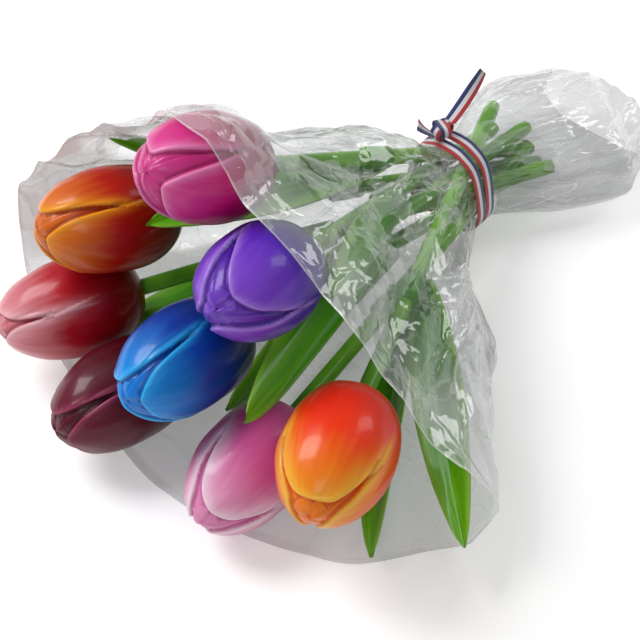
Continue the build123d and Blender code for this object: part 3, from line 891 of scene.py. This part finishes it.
def film_corners():
    """Rings of fold corners from the cut tail to the mouth: over the bundle, then back along the floor."""
    stations = [(x, height, round_points(*box)) for x, height, *box in FILM_TAIL]
    stations += [(TIE_STATION + h, 0, round_points(*FILM_WAIST)) for h in (TIE_HALF_WIDTH, -TIE_HALF_WIDTH)]
    stations += FILM_CONE
    rings = []
    for number, (x, height, points) in enumerate(stations):
        over = pleated(points, height, number)
        t = np.arange(1, FILM_FLOOR_CORNERS + 1)[:, None] / (FILM_FLOOR_CORNERS + 1)
        ring = np.concatenate([over, over[-1] + (over[0] - over[-1]) * t])
        rings.append(np.concatenate([np.full((len(ring), 1), float(x)), ring], 1))
    rings = np.array(rings)
    # the mouth lies one reach from a spot by the crossing, but its top edge is cut straight across
    centre = np.array(FILM_REACH_CENTRE)
    out = rings[-1] - rings[-2]
    start = rings[-2] - centre
    k, m, n = (out * out).sum(1), (out * start).sum(1), (start * start).sum(1) - FILM_REACH ** 2
    t = (np.sqrt(m * m - k * n) - m) / k
    mouth = rings[-2] + t[:, None] * out
    top = smoothstep(*FILM_TOP_RISE, mouth[:, 2]) * (1 - smoothstep(*FILM_TOP_SIDE, mouth[:, 1]))
    short = (FILM_TOP_EDGE - rings[-2][:, 0]) / out[:, 0]
    mouth = rings[-2] + (t * (1 - top) + short * top)[:, None] * out
    # the floor of the mouth reaches a little farther on the near side
    floor = np.arange(len(mouth)) > 2 * FILM_PLEATS
    reach = FILM_REACH + FILM_FLOOR_SPARE * (1 - smoothstep(*FILM_FLOOR_SIDE, mouth[:, 1]))
    depth = reach ** 2 - (mouth[:, 1] - centre[1]) ** 2 - (mouth[:, 2] - centre[2]) ** 2
    mouth[floor, 0] = centre[0] - np.sqrt(depth[floor])
    rings[-1] = mouth
    return rings


def film_facets(rings):
    """A close grid over flat three-cornered facets between the fold corners."""
    columns_of = [FILM_PLEAT_COLUMNS] * (2 * FILM_PLEATS)
    columns_of += [FILM_FLOOR_COLUMNS] * (FILM_FLOOR_CORNERS + 1)
    blocks = []
    for i, rows in enumerate(FILM_ROWS):
        v = np.linspace(0, 1, rows, endpoint=i == len(FILM_ROWS) - 1)[:, None, None]
        strip = []
        for k, columns in enumerate(columns_of):
            u = np.linspace(0, 1, columns, endpoint=False)[None, :, None]
            n = (k + 1) % len(columns_of)
            n0, n1, f0, f1 = rings[i][k], rings[i][n], rings[i + 1][k], rings[i + 1][n]
            if (k + i) % 2:
                first = n0 + u * (n1 - n0) + v * (f1 - n1)
                second = n0 + v * (f0 - n0) + u * (f1 - f0)
                strip.append(np.where(u >= v, first, second))
            else:
                first = n0 + u * (n1 - n0) + v * (f0 - n0)
                second = f1 + (1 - u) * (f0 - f1) + (1 - v) * (n1 - f1)
                strip.append(np.where(u + v <= 1, first, second))
        blocks.append(np.concatenate(strip, 1))
    return np.concatenate(blocks)


def surface_of(pieces):
    """One surface over all the pieces, for finding what lies near a point or behind it."""
    verts, faces = [], []
    for piece in pieces:
        base = len(verts)
        verts += [v.co.copy() for v in piece.data.vertices]
        faces += [[base + i for i in p.vertices] for p in piece.data.polygons]
    return BVHTree.FromPolygons(verts, faces)


def way_tops(x, y, tulips):
    """The top of the ways along which the buds are drawn out, at each spot, or -1 where there is none."""
    tops = np.full(x.shape, -1.0)
    for tulip in tulips:
        u = tulip.axis
        low, high = tulip.bud_ends
        start = tulip.origin + u * (low + BUD_WIDEST * (high - low))
        wide = tulip.bud_radius + FILM_WAY_ROOM
        dx, dy = x - start[0], y - start[1]
        run = dx * u[0] + dy * u[1]
        a = 1 - u[2] ** 2
        b = -u[2] * run
        c = dx ** 2 + dy ** 2 - run ** 2 - wide ** 2
        inside = b * b - a * c
        rise = (np.sqrt(np.maximum(inside, 0)) - b) / a
        ahead = run + rise * u[2] > 0
        tops = np.where((inside > 0) & ahead, np.maximum(tops, start[2] + rise), tops)
    return tops


def settle(flat, wood, tulips):
    """Lets the crest of the film sink on the tulips, but not into the way each bud is drawn out along."""
    spots = flat * MM + CROSSING
    x, y, z = spots[..., 0], spots[..., 1], spots[..., 2]
    rest = np.full(x.shape, -1.0)
    above, down = Vector((0, 0, FILM_REST_ABOVE)), Vector((0, 0, -1))
    for index in np.ndindex(*x.shape):
        if z[index] > FILM_REST_HEIGHT and flat[index][0] < FILM_REST_STATION:
            hit = wood.ray_cast(Vector(spots[index]) + above, down)[0]
            if hit is not None:
                rest[index] = hit.z
    room = np.maximum((z - rest) / MM - FILM_ROOM, -FILM_LIFT)
    room = np.minimum(room, np.maximum((z - way_tops(x, y, tulips)) / MM - FILM_ROOM, 0.0))
    loose = (1 - smoothstep(*FILM_LOOSE_RUN, flat[..., 0])) * smoothstep(*FILM_LOOSE_RISE, flat[..., 2])
    sink = np.minimum(room, FILM_SAG) * loose
    for _ in range(FILM_SAG_PASSES):
        sink = np.minimum(evened(sink), room)
    sunk = flat.copy()
    sunk[..., 2] -= sink
    return sunk


def pushed_out(points, normal, wood):
    """Moves points that lie in the wood, or closer to it than the gap, out along their normals."""
    clear = points.copy()
    for index in np.ndindex(*points.shape[:2]):
        n = Vector(normal[index])
        if n.z > -0.5:
            hit = wood.ray_cast(Vector(points[index]) + n * FILM_PUSH, -n, FILM_PUSH + FILM_GAP)[0]
            if hit is not None:
                clear[index] = hit + n * FILM_GAP
    return clear


def ripple(rng, distance, low, high):
    """A wave of chance length and start."""
    return np.sin(distance / rng.uniform(low, high) + rng.uniform(0, 6))


def film_creases(rng, run, along, girth, bud_side):
    """Heights of the creases: sharp ones that run out from the tie, then broad zigzag ripples."""
    around = along / girth
    height = np.zeros_like(run)
    for i in range(FILM_CREASES):
        side = bud_side if i % 4 else ~bud_side
        reach = rng.uniform(25, 110) if i % 4 else rng.uniform(20, 60)
        begin = rng.uniform(4, 45) if rng.random() < 0.35 else 0.0
        reach = max(reach, begin + 22)
        width = rng.uniform(1.2, 4.5)
        tall = width * rng.uniform(0.18, 0.42) * rng.choice([-1, 1], p=[0.6, 0.4])
        lean = rng.uniform(-0.6, 0.6)
        t = np.clip((run - begin) / (reach - begin), 0, 1)
        line = rng.uniform(0, 1) + rng.normal(0, 0.05) * t
        line = line + 0.006 * np.sin(t * rng.uniform(3, 9) + rng.uniform(0, 6))
        off = ((around - line + 0.5) % 1 - 0.5) * girth
        here = np.clip((run - begin) / 8, 0, 1) * (1 - smoothstep(0.7, 1.0, t)) * side
        off = np.where(off > 0, off / (1 + lean), off / (1 - lean))
        height += tall * np.maximum(0, 1 - np.abs(off) / width) * here
    for i in range(FILM_RIPPLES):
        turn = rng.uniform(0, math.pi)
        length = rng.uniform(14, 40)
        warp = 5 * ripple(rng, run, 14, 30) + 5 * ripple(rng, along, 14, 30)
        patch = smoothstep(-0.2, 0.8, ripple(rng, run, 18, 40) * ripple(rng, along, 18, 40))
        way = along * math.cos(turn) + run * math.sin(turn) + warp
        height += 0.022 * length * patch * zigzag(way / length)
    return height


def outward(flat):
    """Eased directions square to the film, away from the bundle."""
    du = np.roll(flat, -1, 1) - np.roll(flat, 1, 1)
    normal = np.cross(du, np.gradient(flat, axis=0))
    for _ in range(FILM_EASE_PASSES):
        normal = normal + np.roll(normal, 1, 1) + np.roll(normal, -1, 1)
    return normal / (np.linalg.norm(normal, axis=-1)[..., None] + 1e-9)


def film_sleeve(finish, wood, tulips):
    """One sheet rolled into a cone, gathered at the tie and spread at both ends, creased all over."""
    flat = film_facets(film_corners())
    for _ in range(FILM_EASE_PASSES):
        flat = evened(flat)
    flat = settle(flat, wood, tulips)
    x, z = flat[..., 0], flat[..., 2]
    run = np.maximum(np.abs(x - TIE_STATION) - TIE_HALF_WIDTH, 0)
    bud_side = x < TIE_STATION
    side_step = np.linalg.norm(np.roll(flat, -1, 1) - flat, axis=-1)
    along = np.cumsum(side_step, 1) - side_step
    girth = side_step.sum(1)[:, None]
    height = film_creases(np.random.default_rng(FILM_SEED), run, along, girth, bud_side)
    normal = outward(flat)
    limit = np.minimum(FILM_CREASE_FIRST + run * FILM_CREASE_GROWTH, FILM_CREASE_LIMIT)
    height = np.clip(height, -limit, limit * FILM_CREASE_OUT)
    points = flat + normal * (height - FILM_WALL)[..., None]
    low = FILM_LIE + 0.25 * np.clip(np.abs(points[..., 2] - FILM_LIE), 0, 3)
    points[..., 2] = np.where(points[..., 2] < FILM_LIE, low, points[..., 2])
    points = pushed_out(points * MM + CROSSING, normal, wood)
    folds = np.roll(points, 1, 1) + np.roll(points, -1, 1) - 2 * points
    bend = np.linalg.norm(folds, axis=-1) / (side_step * MM + 1e-6)
    lengthwise = np.zeros_like(bend)
    lengthwise[1:-1] = np.linalg.norm(points[2:] + points[:-2] - 2 * points[1:-1], axis=-1)
    lengthwise[1:-1] /= np.linalg.norm(points[2:] - points[:-2], axis=-1) / 2
    # painted highlight along the free edge of the mouth
    edge = np.zeros_like(x)
    edge[-2:] = 1.0
    columns = x.shape[1]
    uv = np.arange(columns) / columns, np.where(bud_side.any(1), 1, -1) * run.mean(1) / 120.0
    # masks for painted glints along the creases and the free edge, and for painted shade where the film lies
    # on the table
    values = {
        "crease": np.clip((bend + lengthwise) * 0.9, 0, 1),
        "edge": edge,
        "under": 1 - smoothstep(1.0, 14.0, z),
    }
    return grid_piece("film_wrap", points, finish, uv=uv, values=values)


def shade_open(piece, wood):
    """Marks as painted shade how little wood lies behind the film, or how far off it is from the far wall."""
    centre = Vector(CROSSING) + Vector(FILM_MIDDLE)
    turns = [(math.cos(a), math.sin(a)) for a in np.linspace(0, math.tau, FILM_LOOK_RAYS, endpoint=False)]
    shares = []
    for v in piece.data.vertices:
        inward = -v.normal if v.normal.dot(v.co - centre) > 0 else v.normal.copy()
        side = inward.orthogonal().normalized()
        other = inward.cross(side)
        rays = [inward] + [inward + (side * c + other * s) * FILM_LOOK_SPREAD for c, s in turns]
        found = sum(wood.ray_cast(v.co, ray, FILM_LOOK)[0] is not None for ray in rays)
        shares.append(1 - found / len(rays))
    gaps = np.array([wood.find_nearest(v.co)[3] for v in piece.data.vertices])
    spots = np.array([v.co for v in piece.data.vertices]) - CROSSING
    far_wall = smoothstep(20 * MM, 50 * MM, spots[:, 1]) * smoothstep(3 * MM, 12 * MM, gaps)
    near_wall = 1 - smoothstep(-70 * MM, -25 * MM, spots[:, 1])
    # painted shade, weaker on the stem side and on the near wall
    tint = np.maximum(shares, far_wall) * np.where(spots[:, 0] > 0, 0.6, 1 - 0.6 * near_wall)
    layer = piece.data.attributes.new("tint", "FLOAT", "POINT")
    layer.data.foreach_set("value", tint.astype(np.float32))


def ribbon_strip(name, path, across, finish, width, closed=False):
    """A flat strip of ribbon with rounded edges along a path; across is its direction of width there."""
    path = np.asarray(path)
    run = np.roll(path, -1, 0) - np.roll(path, 1, 0) if closed else np.gradient(path, axis=0)
    run /= np.linalg.norm(run, axis=1)[:, None]
    across = np.asarray(across)
    across = across - (across * run).sum(1)[:, None] * run
    across /= np.linalg.norm(across, axis=1)[:, None]
    face = np.cross(run, across)
    a = np.linspace(0, 2 * math.pi, RIBBON_COLUMNS, endpoint=False)
    u = np.sign(np.cos(a)) * np.abs(np.cos(a)) ** 0.35 * width / 2
    w = np.sign(np.sin(a)) * np.abs(np.sin(a)) ** 0.6 * RIBBON_THICKNESS / 2
    points = path[:, None] + u[None, :, None] * across[:, None] + w[None, :, None] * face[:, None]
    if closed:
        path = np.concatenate([path, path[:1]])
        points = np.concatenate([points, points[:1]])
    length = run_along(path)
    obj = grid_piece(name, points, finish, ends=not closed)
    layer = obj.data.uv_layers.new(name="UVMap")
    corner = np.empty(len(obj.data.loops), int)
    obj.data.loops.foreach_get("vertex_index", corner)
    v = np.append(np.tile(u / width + 0.5, len(path)), [0.5, 0.5])[corner]
    t = np.append(np.repeat(length / width, len(a)), [0, length[-1] / width])[corner]
    layer.data.foreach_set("uv", np.stack([t, v], -1).ravel().astype(np.float32))
    if closed:
        loop = bmesh.new()
        loop.from_mesh(obj.data)
        bmesh.ops.remove_doubles(loop, verts=loop.verts, dist=1e-7)
        loop.to_mesh(obj.data)
        loop.free()
    return obj


def ribbon_turn(name, x, finish, sway):
    """One turn of the ribbon round the waist of the film."""
    loop = section(round_points(*FILM_WAIST), TURN_ROWS, RIBBON_SEAT)
    angle = np.linspace(0, 2 * math.pi, TURN_ROWS, endpoint=False)
    ring = np.stack([x + sway * np.sin(angle + 0.6), loop[:, 0], loop[:, 1]], -1) * MM + CROSSING
    return ribbon_strip(name, ring, np.tile([1.0, 0, 0], (TURN_ROWS, 1)), finish, RIBBON_WIDTH, True)


def ribbon_tail(name, start, heading, pitch, length, bend, twist, finish):
    """A free end of the ribbon that leaves the knot, curls up and turns about its own length."""
    start = np.array(KNOT_CENTRE) + start
    run = np.linspace(0, 1, TAIL_ROWS)
    rise = np.radians(pitch + bend * run)
    step = length / (TAIL_ROWS - 1)
    out = np.concatenate([[0], np.cumsum(np.cos(rise)[:-1] * step)])
    up = np.concatenate([[0], np.cumsum(np.sin(rise)[:-1] * step)])
    a = math.radians(heading)
    path = np.stack([start[0] + out * math.cos(a), start[1] + out * math.sin(a), start[2] + up], -1)
    level = np.array([-math.sin(a), math.cos(a), 0.0])
    tilt = np.stack([-np.sin(rise) * math.cos(a), -np.sin(rise) * math.sin(a), np.cos(rise)], -1)
    roll = np.radians(twist * run ** 1.4)[:, None]
    across = np.cos(roll) * level + np.sin(roll) * tilt
    return ribbon_strip(name, path * MM + CROSSING, across, finish, RIBBON_WIDTH)


def ribbon_knot(name, finish):
    """Two short lengths of ribbon pulled tight over each other, above the turns."""
    t = np.linspace(0, 2 * math.pi, KNOT_ROWS, endpoint=False)
    width = RIBBON_WIDTH * KNOT_NARROWING
    straps = []
    for number, (turn, reach, tall, shift) in enumerate(KNOT_STRAPS):
        a = math.radians(turn)
        swell = np.sign(np.cos(t)) * np.abs(np.cos(t)) ** 0.75 * reach
        lift = np.sin(t) * tall + shift + 0.25 * np.sin(3 * t)
        path = np.stack([swell * math.cos(a), swell * math.sin(a), lift], -1) + np.array(KNOT_CENTRE)
        across = np.tile([-math.sin(a), math.cos(a), 0.12], (KNOT_ROWS, 1))
        strap = name + "_%d" % number
        straps.append(ribbon_strip(strap, path * MM + CROSSING, across, finish, width, True))
    return joined(*straps)


def table():
    """A pale table top under the bouquet, paler farther out."""
    h = TABLE_HALF
    floor = bpy.data.objects.new("table", bpy.data.meshes.new("table"))
    floor.data.from_pydata([(-h, -h, 0), (h, -h, 0), (h, h, 0), (-h, h, 0)], [], [(0, 1, 2, 3)])
    bpy.context.scene.collection.objects.link(floor)
    f = Finish("table_top")
    seen = f.node("ShaderNodeLightPath", output="Is Camera Ray")
    for ray in ("Is Glossy Ray", "Is Transmission Ray"):
        seen = seen + f.node("ShaderNodeLightPath", output=ray)
    plain = f.node("ShaderNodeBsdfDiffuse", None, {"Color": grey(TABLE_SHADE)})
    place = f.node("ShaderNodeTexCoord", output="Object")
    away = f.node("ShaderNodeVectorMath", {"operation": "LENGTH"}, {0: place}, output="Value")
    near, far = (grey(level) for level in TABLE_GLOW)
    glow = f.blend(f.between(away, *TABLE_GLOW_REACH), near, far)
    lit = f.node("ShaderNodeEmission", None, {"Color": glow, "Strength": 1.0})
    pale = f.node("ShaderNodeAddShader", None, {0: plain, 1: lit})
    floor.data.materials.append(f.close(f.mix(seen, plain, pale)))


def lights():
    """Even light from all round, a broad window behind the bouquet and two weaker lamps."""
    world = bpy.data.worlds.new("studio")
    bpy.context.scene.world = world
    world.use_nodes = True
    background = world.node_tree.nodes["Background"].inputs
    background["Color"].default_value = grey(1.0)
    background["Strength"].default_value = WORLD_LIGHT
    for name, (place, aim, size, power) in LAMPS.items():
        lamp = bpy.data.lights.new(name, "AREA")
        lamp.shape = "RECTANGLE"
        lamp.size, lamp.size_y = size
        lamp.energy = power
        obj = bpy.data.objects.new(name, lamp)
        obj.location = place
        obj.rotation_euler = (Vector(aim) - Vector(place)).to_track_quat("-Z", "Y").to_euler()
        bpy.context.scene.collection.objects.link(obj)
    bpy.context.scene.view_settings.view_transform = "Standard"


def camera():
    """The view from above the near side of the mouth."""
    lens = bpy.data.cameras.new("camera")
    lens.lens = CAMERA_LENS
    lens.sensor_width = CAMERA_SENSOR
    lens.clip_start = 0.01
    obj = bpy.data.objects.new("camera", lens)
    a, e = math.radians(CAMERA_AZIMUTH), math.radians(CAMERA_ELEVATION)
    back = Vector((math.sin(a) * math.cos(e), -math.cos(a) * math.cos(e), math.sin(e)))
    obj.location = Vector(CAMERA_TARGET) + back * CAMERA_DISTANCE
    obj.rotation_euler = (-back).to_track_quat("-Z", "Y").to_euler()
    bpy.context.scene.collection.objects.link(obj)
    bpy.context.scene.camera = obj


green_leaf = leaf_lacquer()
green_stem = stem_lacquer()
rod_tree, rod_inputs = stem_tree()
wooden = []
tulips = []
for number, (name, made) in enumerate(TULIPS.items()):
    tulip = Tulip(name)
    tulips.append(tulip)
    bud = carved_bud(tulip, made, BUD_SEED + number)
    stem = stem_rod(tulip, rod_tree, rod_inputs, green_stem)
    foot, turn, lean, length, roll = made["leaf"]
    leaf = carved_leaf(tulip, foot * MM, turn, lean, length * MM, roll, green_leaf, LEAF_SEED + number)
    for piece, node, slot in (
        (bud, "bud_", name + "_lacquer"), (stem, "stem_", "green_lacquer"), (leaf, "leaf_", "green_lacquer"),
    ):
        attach(piece, "tulip_" + name)
        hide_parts(node + name)
        wooden.append(piece)

wood = surface_of(wooden)
film = film_sleeve(clear_film(), wood, tulips)
shade_open(film, wood)
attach(film, "wrapping")
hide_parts("film_sleeve")

woven = striped_ribbon()
for node, x, sway in TURNS:
    turn = ribbon_turn(node + "_strip", TIE_STATION + x, woven, sway)
    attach(turn, "wrapping")
    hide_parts(node)
tied = {"ribbon_knot": ribbon_knot("knot_straps", woven)}
for node, name, *shape in TAILS:
    tied[node] = ribbon_tail(name, *shape, woven)
for node, piece in tied.items():
    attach(piece, "wrapping")
    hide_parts(node)

table()
lights()
camera()
